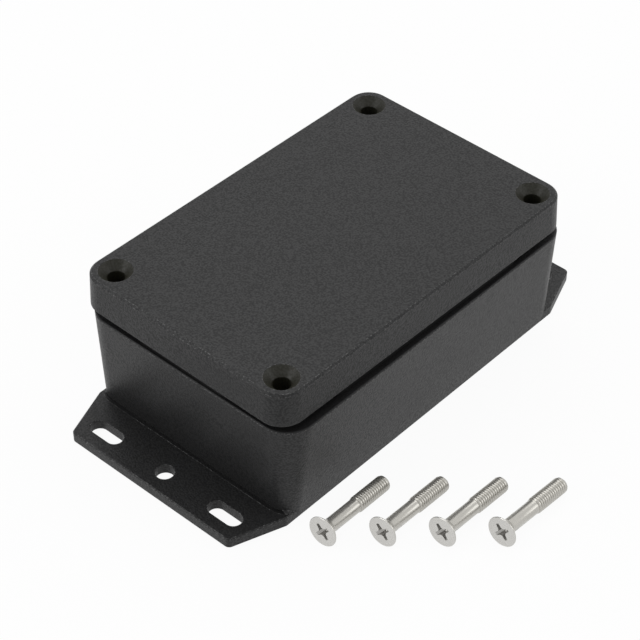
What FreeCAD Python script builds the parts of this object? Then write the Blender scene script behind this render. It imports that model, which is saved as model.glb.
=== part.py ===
import FreeCAD, Part
import math
import os
import Sketcher

# Flanged project box with a gasketed lid, its screws taken out and laid beside it.
# Millimetres. X across the box, Y along it, Z up. The origin is the middle of the
# four flange slots, on the underside of the bottom plate.

os.makedirs("parts", exist_ok=True)
doc = FreeCAD.newDocument("project_box")

# Driving sizes: name, value, what it is.
SIZES = [
    ("foot_width", 60.2, "tub across its foot"),
    ("foot_length", 96.0, "tub along its foot"),
    ("foot_corner", 4.3, "corner radius at the foot"),
    ("side_lean", 2.3, "how far the rim stands out over the foot, each side"),
    ("end_lean", 1.2, "how far the rim stands out over the foot, each end"),
    ("rim_corner", 7.4, "corner radius at the rim"),
    ("rim_height", 28.4, "rim above the ground"),
    ("rim_break", 0.3, "broken outer edge of the rim"),
    ("wall", 3.4, "side wall of the tub"),
    ("floor_thick", 2.6, "floor of the tub"),
    ("boss_land", 1.1, "rim left between the gasket and an insert"),
    ("boss_draft", 0.4, "how much thicker a boss is at the floor"),
    ("cavity_corner", 6.0, "radius where a boss meets the walls"),
    ("plate_thick", 2.6, "bottom plate and flanges"),
    ("flange_reach", 13.6, "flange beyond the foot of the tub"),
    ("flange_taper", 5.0, "how far a flange narrows, each side"),
    ("flange_corner", 1.4, "outer corner radius of a flange"),
    ("root_corner", 1.9, "corner radius where a flange starts to narrow"),
    ("plate_break", 0.25, "broken top edges of the flanges"),
    ("root_fill", 0.6, "sloped fill between the end walls and the flanges"),
    ("slot_edge", 5.4, "slots' middle line from the flange's outer edge"),
    ("slot_margin", 1.35, "slot's end from the flange's corner, along its outer edge"),
    ("slot_width", 4.3, "slot width"),
    ("slot_length", 9.5, "slot length, end to end"),
    ("mid_hole", 4.6, "round hole between the slots"),
    ("screw_inset_x", 6.65, "screw axis from the rim's side"),
    ("screw_inset_y", 6.4, "screw axis from the rim's end"),
    ("lid_inset_x", 0.5, "lid's lower edge inside the rim's, each side"),
    ("lid_inset_y", 0.2, "lid's lower edge inside the rim's, each end"),
    ("lid_corner", 6.0, "corner radius of the lid's lower edge"),
    ("lid_height", 9.1, "lid's lower edge to its top"),
    ("lid_top", 3.0, "thickness of the lid's top"),
    ("lid_draft", 2.4, "lean of the lid's sides, degrees"),
    ("lid_bevel", 0.5, "broken top edge of the lid"),
    ("lid_break", 0.3, "broken lower edge of the lid"),
    ("lid_gap", 1.8, "open seam between rim and lid, on the loose gasket"),
    ("lid_shift_x", -0.23, "loose lid off the middle, across"),
    ("lid_shift_y", -0.53, "loose lid off the middle, along"),
    ("lid_turn", -0.6, "turn of the loose lid, degrees"),
    ("hole_play", 0.25, "lid's screw hole over the thread"),
    ("sink_play", 0.7, "mouth of the countersink over the screw head"),
    ("tongue_play", 1.2, "play of the lid's locating rim in the tub"),
    ("tongue_thick", 1.2, "thickness of the locating rim"),
    ("tongue_drop", 3.6, "locating rim below the lid's lower edge"),
    ("seal_inset", 1.5, "cavity edge to the middle of the gasket"),
    ("seal_width", 1.4, "gasket width"),
    ("seal_play", 0.15, "play on each side of the gasket in its groove"),
    ("groove_deep", 1.2, "depth of the gasket groove"),
    ("pillar_inset_x", 12.0, "board pillar from the tub's side wall"),
    ("pillar_inset_y", 15.8, "board pillar from the tub's end wall"),
    ("pillar_size", 6.0, "board pillar diameter"),
    ("pillar_height", 5.0, "board pillar above the floor"),
    ("pilot_size", 2.5, "pilot hole in a board pillar"),
    ("pilot_deep", 4.5, "depth of the pilot hole"),
    ("insert_size", 5.6, "outside diameter of a threaded insert"),
    ("insert_long", 8.0, "length of a threaded insert"),
    ("insert_bore", 3.3, "bore of a threaded insert"),
    ("seat_deep", 14.5, "depth of the insert's bore, with room for the screw's tip"),
    ("head_size", 7.5, "screw head diameter"),
    ("head_rim", 0.25, "straight edge of the screw head"),
    ("shank_size", 3.5, "plain shank diameter"),
    ("thread_size", 3.95, "outside of the thread"),
    ("thread_long", 10.8, "threaded length"),
    ("screw_long", 22.0, "screw length with its head"),
    ("tip_chamfer", 0.45, "chamfer at the screw's tip"),
    ("recess_span", 4.3, "cross recess, arm end to arm end"),
    ("recess_arm", 0.95, "width of a recess arm"),
    ("recess_deep", 1.7, "depth of the cross recess"),
    ("laid_room", 7.1, "first laid screw from the rim's side"),
    ("laid_inset", 2.6, "first laid screw's head from the rim's end"),
    ("laid_step_x", 9.75, "from one laid screw to the next, across"),
    ("laid_step_y", 8.8, "from one laid screw to the next, along"),
    ("laid_turn", 2.4, "turn of the first laid screw from the box's length, degrees"),
    ("laid_turn_step", -0.75, "change of turn from one laid screw to the next, degrees"),
]

sheet = doc.addObject("Spreadsheet::Sheet", "sizes")
values = {}
for row, (name, value, note) in enumerate(SIZES, start=1):
    sheet.set("A%d" % row, name)
    sheet.set("B%d" % row, str(value))
    sheet.set("C%d" % row, note)
    sheet.setAlias("B%d" % row, name)
    values[name] = value
doc.recompute()


# A size with its value and the expression that drives it in the document.
class Size:
    def __init__(self, value, text):
        self.value = value
        self.text = text

    def join(self, other, sign, result):
        return Size(result, "(%s %s %s)" % (self.text, sign, other.text))

    def __add__(self, other):
        other = as_size(other)
        return self.join(other, "+", self.value + other.value)

    def __sub__(self, other):
        other = as_size(other)
        return self.join(other, "-", self.value - other.value)

    def __mul__(self, other):
        other = as_size(other)
        return self.join(other, "*", self.value * other.value)

    def __truediv__(self, other):
        other = as_size(other)
        return self.join(other, "/", self.value / other.value)

    def __neg__(self):
        return Size(-self.value, "(0 - %s)" % self.text)


def as_size(number):
    if isinstance(number, Size):
        return number
    return Size(float(number), repr(float(number)))


def size(name):
    return Size(values[name], "sizes." + name)


# Sizes that follow from the driving ones.
rim_width = size("foot_width") + size("side_lean") * 2
rim_length = size("foot_length") + size("end_lean") * 2
plate_length = size("foot_length") + size("flange_reach") * 2
flange_width = size("foot_width") - size("flange_taper") * 2
slot_row = plate_length - size("slot_edge") * 2
slot_spread = flange_width - size("slot_length") - size("slot_margin") * 2
screw_across = rim_width - size("screw_inset_x") * 2
screw_along = rim_length - size("screw_inset_y") * 2
lid_width = rim_width - size("lid_inset_x") * 2
lid_length = rim_length - size("lid_inset_y") * 2
hole_size = size("thread_size") + size("hole_play")
sink_size = size("head_size") + size("sink_play")
seal_out = size("seal_inset") + size("seal_width") / 2
boss_reach = size("insert_size") / 2 + size("boss_land") + seal_out


# Bodies, planes and features.
def new_body(name):
    body = doc.addObject("PartDesign::Body", name)
    body.Label = name
    return body


def origin_plane(body, role):
    for feature in body.Origin.OriginFeatures:
        if feature.Role == role:
            return feature
    raise RuntimeError("no plane " + role)


def new_sketch(body, name, height=None, role="XY_Plane"):
    sketch = body.newObject("Sketcher::SketchObject", name)
    sketch.AttachmentSupport = [(origin_plane(body, role), "")]
    sketch.MapMode = "FlatFace"
    if height is not None:
        sketch.setExpression("AttachmentOffset.Base.z", height.text)
    return sketch


def bind(feature, prop, amount):
    setattr(feature, prop, amount.value)
    feature.setExpression(prop, amount.text)


def pad(body, name, sketch, length, down=False):
    feature = body.newObject("PartDesign::Pad", name)
    feature.Profile = sketch
    feature.Reversed = down
    bind(feature, "Length", length)
    sketch.Visibility = False
    return feature


def pocket(body, name, sketch, length, up=False):
    feature = body.newObject("PartDesign::Pocket", name)
    feature.Profile = sketch
    feature.Reversed = up
    bind(feature, "Length", length)
    sketch.Visibility = False
    return feature


def loft(body, name, lower, upper, kind="PartDesign::AdditiveLoft"):
    feature = body.newObject(kind, name)
    feature.Profile = lower
    feature.Sections = [upper]
    feature.Ruled = True
    lower.Visibility = False
    upper.Visibility = False
    return feature


# Dress-up on the edges of the last feature that a test picks out.
def dress(body, name, kind, prop, amount, test):
    doc.recompute()
    base = body.Tip
    names = []
    for number, edge in enumerate(base.Shape.Edges, start=1):
        if test(edge):
            names.append("Edge%d" % number)
    if not names:
        raise RuntimeError("no edges for " + name)
    feature = body.newObject(kind, name)
    feature.Base = (base, names)
    bind(feature, prop, amount)
    return feature


def fillet(body, name, radius, test):
    return dress(body, name, "PartDesign::Fillet", "Radius", radius, test)


def chamfer(body, name, amount, test):
    return dress(body, name, "PartDesign::Chamfer", "Size", amount, test)


def flat_at(edge, height):
    box = edge.BoundBox
    return abs(box.ZMin - height) < 0.01 and abs(box.ZMax - height) < 0.01


# Sketch constraints.
def tie(sketch, name, kind, parts, amount):
    number = sketch.addConstraint(Sketcher.Constraint(kind, *parts, amount.value))
    sketch.renameConstraint(number, name)
    sketch.setExpression("Constraints." + name, amount.text)


def tie_coordinate(sketch, name, axis, geometry, point, amount):
    if abs(amount.value) < 1e-9:
        other = -2 if axis == "DistanceX" else -1
        sketch.addConstraint(Sketcher.Constraint("PointOnObject", geometry, point, other))
    elif amount.value > 0:
        tie(sketch, name, axis, (-1, 1, geometry, point), amount)
    else:
        tie(sketch, name, axis, (geometry, point, -1, 1), -amount)


def vector(x, y, z=0.0):
    return FreeCAD.Vector(x, y, z)


# Closed polygon through points, each an (x, y) pair of sizes.
def polygon(sketch, tag, points):
    first = sketch.GeometryCount
    count = len(points)
    for i in range(count):
        here = points[i]
        after = points[(i + 1) % count]
        start = vector(here[0].value, here[1].value)
        end = vector(after[0].value, after[1].value)
        sketch.addGeometry(Part.LineSegment(start, end), False)
    for i in range(count):
        after = first + (i + 1) % count
        sketch.addConstraint(Sketcher.Constraint("Coincident", first + i, 2, after, 1))
    for i in range(count):
        x, y = points[i]
        tie_coordinate(sketch, "%s_x%d" % (tag, i), "DistanceX", first + i, 1, x)
        tie_coordinate(sketch, "%s_y%d" % (tag, i), "DistanceY", first + i, 1, y)


# Closed outline of straight lines with a rounding at every corner. A corner is
# (x, y, radius), its x and y where the two lines would meet without the rounding.
# Each rounding is made of equal arcs, several where a wall is lofted between radii.
def rounded(sketch, tag, corners, arcs=1):
    first = sketch.GeometryCount
    count = len(corners)
    bends = []
    for i in range(count):
        here = vector_of(corners[i])
        back = vector_of(corners[i - 1]).sub(here).normalize()
        ahead = vector_of(corners[(i + 1) % count]).sub(here).normalize()
        bends.append(bend_points(here, back, ahead, corners[i][2].value, arcs))
    for i in range(count):
        points = bends[i]
        for part in range(arcs):
            arc = Part.Arc(points[2 * part], points[2 * part + 1], points[2 * part + 2])
            sketch.addGeometry(arc, False)
        line = Part.LineSegment(points[-1], bends[(i + 1) % count][0])
        sketch.addGeometry(line, False)
    for i in range(count):
        arc = first + (arcs + 1) * i + arcs - 1
        line = arc + 1
        following = first + (arcs + 1) * ((i + 1) % count)
        span = math.pi - corner_angle(corners, i)
        for part in range(arc - arcs + 1, arc):
            after = part + 1
            sketch.addConstraint(Sketcher.Constraint("Coincident", part, 2, after, 1))
            sketch.addConstraint(Sketcher.Constraint("Coincident", part, 3, after, 3))
            sketch.addConstraint(Sketcher.Constraint("Angle", part, span / arcs))
        sketch.addConstraint(Sketcher.Constraint("Tangent", arc, 2, line, 1))
        sketch.addConstraint(Sketcher.Constraint("Tangent", line, 2, following, 1))
        place_line(sketch, "%s_p%d" % (tag, i), line, corners[i], corners[(i + 1) % count])
        tie(sketch, "%s_r%d" % (tag, i), "Radius", (arc,), corners[i][2])


def vector_of(corner):
    return vector(corner[0].value, corner[1].value)


# Inner angle of an outline's corner.
def corner_angle(corners, i):
    here = vector_of(corners[i])
    back = vector_of(corners[i - 1]).sub(here)
    ahead = vector_of(corners[(i + 1) % len(corners)]).sub(here)
    return back.getAngle(ahead)


# Ends and middles of the equal arcs of one rounding, for outlines that turn left.
def bend_points(here, back, ahead, radius, arcs):
    half = back.getAngle(ahead) / 2
    inward = back.add(ahead).normalize()
    reach = radius / math.sin(half)
    centre = here.add(vector(inward.x * reach, inward.y * reach))
    span = math.pi - 2 * half
    middle = math.atan2(-inward.y, -inward.x)
    points = []
    for step in range(2 * arcs + 1):
        angle = middle - span / 2 + span * step / (2 * arcs)
        x = centre.x + radius * math.cos(angle)
        y = centre.y + radius * math.sin(angle)
        points.append(vector(x, y))
    return points


# A line is level, upright or slanted by 45 degrees, and lies on its two corners.
def place_line(sketch, name, line, start, end):
    run = end[0].value - start[0].value
    rise = end[1].value - start[1].value
    if abs(rise) < 1e-6:
        sketch.addConstraint(Sketcher.Constraint("Horizontal", line))
        tie_coordinate(sketch, name, "DistanceY", line, 1, start[1])
    elif abs(run) < 1e-6:
        sketch.addConstraint(Sketcher.Constraint("Vertical", line))
        tie_coordinate(sketch, name, "DistanceX", line, 1, start[0])
    else:
        sketch.addConstraint(Sketcher.Constraint("Angle", line, math.atan2(rise, run)))
        across = start[0] if start[0].value > 0 else -start[0]
        along = start[1] if start[1].value > 0 else -start[1]
        off = (across + along) / math.sqrt(2)
        tie(sketch, name, "Distance", (-1, 1, line), off)


def rounded_rectangle(sketch, tag, width, length, radius, arcs=1):
    x = width / 2
    y = length / 2
    corners = [(x, y, radius), (-x, y, radius), (-x, -y, radius), (x, -y, radius)]
    rounded(sketch, tag, corners, arcs)


# Rectangle whose four corners are cut off slantwise; the cuts lie where the x and
# the y of a point come to the given sum.
def cut_rectangle(sketch, tag, x, y, cut_sum, radius):
    corners = []
    for sx, sy, turned in ((1, 1, False), (-1, 1, True), (-1, -1, False), (1, -1, True)):
        side = (signed(x, sx), signed(cut_sum - x, sy), radius)
        end = (signed(cut_sum - y, sx), signed(y, sy), radius)
        corners.extend([end, side] if turned else [side, end])
    rounded(sketch, tag, corners)


def signed(amount, sign):
    return amount if sign > 0 else -amount


def circle(sketch, tag, x, y, diameter):
    shape = Part.Circle(vector(x.value, y.value), vector(0, 0, 1), diameter.value / 2)
    number = sketch.addGeometry(shape, False)
    tie_coordinate(sketch, tag + "_x", "DistanceX", number, 3, x)
    tie_coordinate(sketch, tag + "_y", "DistanceY", number, 3, y)
    tie(sketch, tag + "_d", "Diameter", (number,), diameter)


def four_circles(sketch, tag, across, along, diameter):
    number = 0
    for sx in (1, -1):
        for sy in (1, -1):
            number += 1
            x = signed(across / 2, sx)
            y = signed(along / 2, sy)
            circle(sketch, "%s%d" % (tag, number), x, y, diameter)


# Slot along X with round ends.
def slot(sketch, tag, x, y, length, width):
    reach = (length - width) / 2
    radius = width / 2
    left = vector(x.value - reach.value, y.value)
    right = vector(x.value + reach.value, y.value)
    up = vector(0, 0, 1)
    half = math.pi / 2
    arc_right = Part.ArcOfCircle(Part.Circle(right, up, radius.value), -half, half)
    arc_left = Part.ArcOfCircle(Part.Circle(left, up, radius.value), half, 3 * half)
    first = sketch.GeometryCount
    rise = vector(0, radius.value)
    sketch.addGeometry(arc_right, False)
    sketch.addGeometry(Part.LineSegment(right.add(rise), left.add(rise)), False)
    sketch.addGeometry(arc_left, False)
    sketch.addGeometry(Part.LineSegment(left.sub(rise), right.sub(rise)), False)
    sketch.addConstraint(Sketcher.Constraint("Tangent", first, 2, first + 1, 1))
    sketch.addConstraint(Sketcher.Constraint("Tangent", first + 1, 2, first + 2, 1))
    sketch.addConstraint(Sketcher.Constraint("Tangent", first + 2, 2, first + 3, 1))
    sketch.addConstraint(Sketcher.Constraint("Tangent", first + 3, 2, first, 1))
    sketch.addConstraint(Sketcher.Constraint("Horizontal", first + 1))
    tie_coordinate(sketch, tag + "_xr", "DistanceX", first, 3, x + reach)
    tie_coordinate(sketch, tag + "_xl", "DistanceX", first + 2, 3, x - reach)
    tie_coordinate(sketch, tag + "_y", "DistanceY", first, 3, y)
    tie(sketch, tag + "_r", "Radius", (first,), radius)


# Outline that tub, gasket and lid share: the mouth of the tub's cavity.
mouth_x = rim_width / 2 - size("wall")
mouth_y = rim_length / 2 - size("wall")
slant = as_size(math.sqrt(2))
axis_sum = screw_across / 2 + screw_along / 2
mouth_sum = axis_sum - boss_reach * slant


# The mouth's outline moved outwards by an amount.
def mouth_outline(sketch, tag, out):
    cut_sum = mouth_sum + out * slant
    cut_rectangle(sketch, tag, mouth_x + out, mouth_y + out, cut_sum, size("cavity_corner") + out)


# Tub, bottom plate and flanges, one moulding.
base = new_body("base")
half_foot = size("foot_width") / 2
half_flange = flange_width / 2
half_plate = plate_length / 2
root = size("foot_length") / 2

plate_sketch = new_sketch(base, "plate_outline")
plate_points = [
    (half_foot, -root),
    (half_foot, root),
    (half_flange, half_plate),
    (-half_flange, half_plate),
    (-half_foot, root),
    (-half_foot, -root),
    (-half_flange, -half_plate),
    (half_flange, -half_plate),
]
polygon(plate_sketch, "plate", plate_points)
pad(base, "plate", plate_sketch, size("plate_thick"))


def upright_at(edge, reach):
    box = edge.BoundBox
    upright = box.XLength < 0.01 and box.YLength < 0.01
    return upright and abs(abs(box.YMin) - reach) < 0.01


fillet(base, "flange_corners", size("flange_corner"), lambda e: upright_at(e, half_plate.value))
fillet(base, "root_corners", size("root_corner"), lambda e: upright_at(e, root.value))
plate_top = values["plate_thick"]
chamfer(base, "plate_top_edges", size("plate_break"), lambda e: flat_at(e, plate_top))

foot_sketch = new_sketch(base, "foot_outline")
foot_sizes = (size("foot_width"), size("foot_length"), size("foot_corner"))
rounded_rectangle(foot_sketch, "foot", *foot_sizes, arcs=4)
rim_foot = size("rim_height") - size("rim_break")
rim_sketch = new_sketch(base, "rim_outline", rim_foot)
rim_sizes = (rim_width, rim_length, size("rim_corner"))
rounded_rectangle(rim_sketch, "rim", *rim_sizes, arcs=4)
loft(base, "tub", foot_sketch, rim_sketch)

# The rim's outer edge is broken: its last bit leans inwards.
edge_sketch = new_sketch(base, "rim_edge_outline", rim_foot)
rounded_rectangle(edge_sketch, "edge", *rim_sizes, arcs=4)
top_sketch = new_sketch(base, "rim_top_outline", size("rim_height"))
top_width = rim_width - size("rim_break") * 2
top_length = rim_length - size("rim_break") * 2
top_corner = size("rim_corner") - size("rim_break")
rounded_rectangle(top_sketch, "top", top_width, top_length, top_corner, arcs=4)
loft(base, "rim_outer_edge", edge_sketch, top_sketch)


# Edges where the end walls meet the flanges' top face.
def end_wall_foot(edge):
    box = edge.BoundBox
    level = flat_at(edge, values["plate_thick"])
    across = box.XLength > 0.6 * values["foot_width"] and box.YLength < 0.01
    return level and across and abs(box.YMin) < rim_length.value / 2


chamfer(base, "flange_root_fill", size("root_fill"), end_wall_foot)


# Cavity between the bosses, drafted like the walls.
cavity_low = new_sketch(base, "cavity_floor", size("floor_thick"))
low_x = size("foot_width") / 2 - size("wall")
low_y = size("foot_length") / 2 - size("wall")
low_sum = mouth_sum - size("boss_draft") * slant
cut_rectangle(cavity_low, "low", low_x, low_y, low_sum, size("cavity_corner"))
cavity_high = new_sketch(base, "cavity_mouth", size("rim_height"))
mouth_outline(cavity_high, "high", as_size(0))
loft(base, "cavity", cavity_low, cavity_high, "PartDesign::SubtractiveLoft")

# Bores for the threaded inserts, with room for the screw tips below them.
seat_sketch = new_sketch(base, "insert_seats", size("rim_height"))
four_circles(seat_sketch, "seat", screw_across, screw_along, size("insert_size"))
pocket(base, "insert_bores", seat_sketch, size("seat_deep"))

# Pillars for a circuit board.
pillar_sketch = new_sketch(base, "pillars", size("floor_thick"))
pillar_across = (mouth_x - size("pillar_inset_x")) * 2
pillar_along = (mouth_y - size("pillar_inset_y")) * 2
four_circles(pillar_sketch, "pillar", pillar_across, pillar_along, size("pillar_size"))
pad(base, "board_pillars", pillar_sketch, size("pillar_height"))
pilot_sketch = new_sketch(base, "pilots", size("floor_thick") + size("pillar_height"))
four_circles(pilot_sketch, "pilot", pillar_across, pillar_along, size("pilot_size"))
pocket(base, "pilot_holes", pilot_sketch, size("pilot_deep"))

# Two slots and a round hole in each flange.
opening_sketch = new_sketch(base, "flange_openings")
number = 0
for sy in (1, -1):
    row_y = signed(slot_row / 2, sy)
    circle(opening_sketch, "mid%d" % number, as_size(0), row_y, size("mid_hole"))
    for sx in (1, -1):
        number += 1
        slot_x = signed(slot_spread / 2, sx)
        tag = "slot%d" % number
        slot(opening_sketch, tag, slot_x, row_y, size("slot_length"), size("slot_width"))
pocket(base, "flange_slots", opening_sketch, size("plate_thick"), up=True)

# Lid, drawn from its own lower face and set above the rim.
lid = new_body("lid")
lid_sketch = new_sketch(lid, "lid_outline")
rounded_rectangle(lid_sketch, "lid", lid_width, lid_length, size("lid_corner"))
lid_pad = pad(lid, "lid_block", lid_sketch, size("lid_height"))
bind(lid_pad, "TaperAngle", -size("lid_draft"))
chamfer(lid, "lid_top_edge", size("lid_bevel"), lambda e: flat_at(e, values["lid_height"]))
chamfer(lid, "lid_lower_edge", size("lid_break"), lambda e: flat_at(e, 0.0))

tongue_sketch = new_sketch(lid, "tongue_outline")
mouth_outline(tongue_sketch, "tongue", -size("tongue_play"))
pad(lid, "locating_rim", tongue_sketch, size("tongue_drop"), down=True)
hollow_sketch = new_sketch(lid, "hollow_outline", -size("tongue_drop"))
mouth_outline(hollow_sketch, "hollow", -(size("tongue_play") + size("tongue_thick")))
hollow_depth = size("tongue_drop") + size("lid_height") - size("lid_top")
pocket(lid, "lid_hollow", hollow_sketch, hollow_depth, up=True)

groove_sketch = new_sketch(lid, "gasket_groove_outline")
half_groove = size("seal_width") / 2 + size("seal_play")
mouth_outline(groove_sketch, "outer", size("seal_inset") + half_groove)
mouth_outline(groove_sketch, "inner", size("seal_inset") - half_groove)
pocket(lid, "gasket_groove", groove_sketch, size("groove_deep"), up=True)

hole_sketch = new_sketch(lid, "screw_holes", size("lid_height"))
four_circles(hole_sketch, "hole", screw_across, screw_along, hole_size)
pocket(lid, "screw_bores", hole_sketch, size("lid_height"))
sink = (sink_size - hole_size) / 2


def hole_mouth(edge):
    box = edge.BoundBox
    return flat_at(edge, values["lid_height"]) and abs(box.XLength - hole_size.value) < 0.01


chamfer(lid, "countersinks", sink, hole_mouth)


# The lid lies loose: it and its gasket are a little off the middle and turned.
def lay_loose(body, height):
    body.setExpression("Placement.Base.x", "sizes.lid_shift_x")
    body.setExpression("Placement.Base.y", "sizes.lid_shift_y")
    body.setExpression("Placement.Base.z", height.text)
    body.setExpression("Placement.Rotation.Angle", "sizes.lid_turn")


lay_loose(lid, size("rim_height") + size("lid_gap"))

# Gasket ring, from the rim up into the lid's groove.
gasket = new_body("lid_gasket")
gasket_sketch = new_sketch(gasket, "gasket_outline")
mouth_outline(gasket_sketch, "outer", seal_out)
mouth_outline(gasket_sketch, "inner", size("seal_inset") - size("seal_width") / 2)
pad(gasket, "gasket_ring", gasket_sketch, size("lid_gap") + size("groove_deep"))
lay_loose(gasket, size("rim_height"))

# One threaded insert, upright, its top at the origin.
insert = new_body("insert")
insert_sketch = new_sketch(insert, "insert_profile", role="XZ_Plane")
bore = size("insert_bore") / 2
outside = size("insert_size") / 2
foot = -size("insert_long")
insert_points = [
    (bore, as_size(0)),
    (outside, as_size(0)),
    (outside, foot),
    (bore, foot),
]
polygon(insert_sketch, "insert", insert_points)


def revolve(body, name, sketch):
    feature = body.newObject("PartDesign::Revolution", name)
    feature.Profile = sketch
    feature.ReferenceAxis = (sketch, ["V_Axis"])
    feature.Angle = 360.0
    sketch.Visibility = False
    return feature


revolve(insert, "insert_turning", insert_sketch)

# One lid screw, upright, the face of its head at the origin.
screw = new_body("screw")
screw_sketch = new_sketch(screw, "screw_profile", role="XZ_Plane")
head = size("head_size") / 2
shank = size("shank_size") / 2
thread = size("thread_size") / 2
cone_end = -(size("head_rim") + head - shank)
thread_top = size("thread_long") - size("screw_long")
run_out = thread_top + shank - thread
tip = -size("screw_long")
screw_points = [
    (as_size(0), as_size(0)),
    (head, as_size(0)),
    (head, -size("head_rim")),
    (shank, cone_end),
    (shank, thread_top),
    (thread, run_out),
    (thread, tip + size("tip_chamfer")),
    (thread - size("tip_chamfer"), tip),
    (as_size(0), tip),
]
polygon(screw_sketch, "screw", screw_points)
revolve(screw, "screw_turning", screw_sketch)
cross_sketch = new_sketch(screw, "cross_recess_outline")
arm = size("recess_arm") / 2
span = size("recess_span") / 2
cross_points = [
    (span, -arm),
    (span, arm),
    (arm, arm),
    (arm, span),
    (-arm, span),
    (-arm, arm),
    (-span, arm),
    (-span, -arm),
    (-arm, -arm),
    (-arm, -span),
    (arm, -span),
    (arm, -arm),
]
polygon(cross_sketch, "cross", cross_points)
pocket(screw, "cross_recess", cross_sketch, size("recess_deep"))

doc.recompute()

# The four inserts in their seats, flush with the rim.
seats = []
for sx in (1, -1):
    for sy in (1, -1):
        x = sx * screw_across.value / 2
        y = sy * screw_along.value / 2
        copy = insert.Shape.copy()
        copy.Placement = FreeCAD.Placement(vector(x, y), FreeCAD.Rotation())
        seats.append(copy)
inserts = doc.addObject("Part::Feature", "threaded_inserts")
inserts.Label = "threaded_inserts"
inserts.Shape = Part.makeCompound(seats)
inserts.Placement = FreeCAD.Placement(vector(0, 0, values["rim_height"]), FreeCAD.Rotation())

# The four screws lie in a row, each on the edge of its head and the end of its thread.
head_radius = values["head_size"] / 2
rise = head_radius - values["thread_size"] / 2
reach = values["screw_long"] - values["tip_chamfer"] - values["head_rim"]
lean = math.degrees(math.atan2(rise, reach))
lift = head_radius * math.cos(math.radians(lean))
lift += values["head_rim"] * math.sin(math.radians(lean))
laid = []
for number in range(4):
    x = rim_width.value / 2 + values["laid_room"] + number * values["laid_step_x"]
    y = values["laid_inset"] - rim_length.value / 2 + number * values["laid_step_y"]
    roll = FreeCAD.Rotation(vector(0, 0, 1), 45.0)
    tip_over = FreeCAD.Rotation(vector(1, 0, 0), 90.0 - lean)
    angle = values["laid_turn"] + number * values["laid_turn_step"]
    turn = FreeCAD.Rotation(vector(0, 0, 1), angle)
    copy = screw.Shape.copy()
    copy.Placement = FreeCAD.Placement(vector(x, y), turn.multiply(tip_over).multiply(roll))
    laid.append(copy)
screws = doc.addObject("Part::Feature", "lid_screws")
screws.Label = "lid_screws"
screws.Shape = Part.makeCompound(laid)
screws.Placement = FreeCAD.Placement(vector(0, 0, lift), FreeCAD.Rotation())

doc.recompute()

for item in doc.Objects:
    if "Invalid" in item.State or "Error" in item.State:
        raise RuntimeError("failed: " + item.Name)

solids = {"base": 1, "lid": 1, "lid_gasket": 1, "threaded_inserts": 4, "lid_screws": 4}
for node in (base, lid, gasket, inserts, screws):
    shape = node.Shape
    if shape.isNull() or not shape.isValid():
        raise RuntimeError("bad shape: " + node.Label)
    if len(shape.Solids) != solids[node.Label]:
        raise RuntimeError("wrong number of solids: " + node.Label)
    box = shape.BoundBox
    corners = (box.XMin, box.YMin, box.ZMin, box.XMax, box.YMax, box.ZMax)
    print(node.Label, round(shape.Volume, 1), [round(c, 2) for c in corners])

for node in (base, lid, gasket, inserts, screws):
    node.Shape.exportStep("parts/%s.step" % node.Label)
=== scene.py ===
import math

import bmesh
import bpy
from bpy.props import FloatProperty, FloatVectorProperty, IntProperty, PointerProperty
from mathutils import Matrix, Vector


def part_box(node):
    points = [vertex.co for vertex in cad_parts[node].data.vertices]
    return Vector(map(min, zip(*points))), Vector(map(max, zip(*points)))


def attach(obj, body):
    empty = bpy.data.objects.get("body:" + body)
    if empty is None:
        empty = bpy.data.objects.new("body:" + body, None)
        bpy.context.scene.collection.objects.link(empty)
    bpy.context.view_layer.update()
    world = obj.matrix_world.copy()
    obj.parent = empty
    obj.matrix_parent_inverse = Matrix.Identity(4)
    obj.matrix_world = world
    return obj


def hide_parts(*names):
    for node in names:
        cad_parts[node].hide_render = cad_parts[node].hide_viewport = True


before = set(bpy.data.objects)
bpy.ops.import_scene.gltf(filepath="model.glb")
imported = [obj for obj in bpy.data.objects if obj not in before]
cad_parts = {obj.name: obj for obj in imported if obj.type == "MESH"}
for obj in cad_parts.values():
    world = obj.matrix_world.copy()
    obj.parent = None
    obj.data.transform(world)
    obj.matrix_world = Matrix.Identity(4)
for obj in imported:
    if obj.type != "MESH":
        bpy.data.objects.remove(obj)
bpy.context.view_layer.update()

# Flanged project box: finishes for its moulded shells and seal, its laid-out lid
# screws and its threaded inserts, and the white studio that it stands in.

bl_info = {
    "name": "Project box",
    "version": (1, 0, 0),
    "blender": (4, 5, 0),
    "location": "3D View > Sidebar > Project box",
    "description": "Dresses a flanged project box and lights it in a white studio",
    "category": "Object",
}

MM = 0.001
BODY = "root"

base_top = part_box("base")[1].z
insert_low, insert_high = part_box("threaded_inserts")


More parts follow.
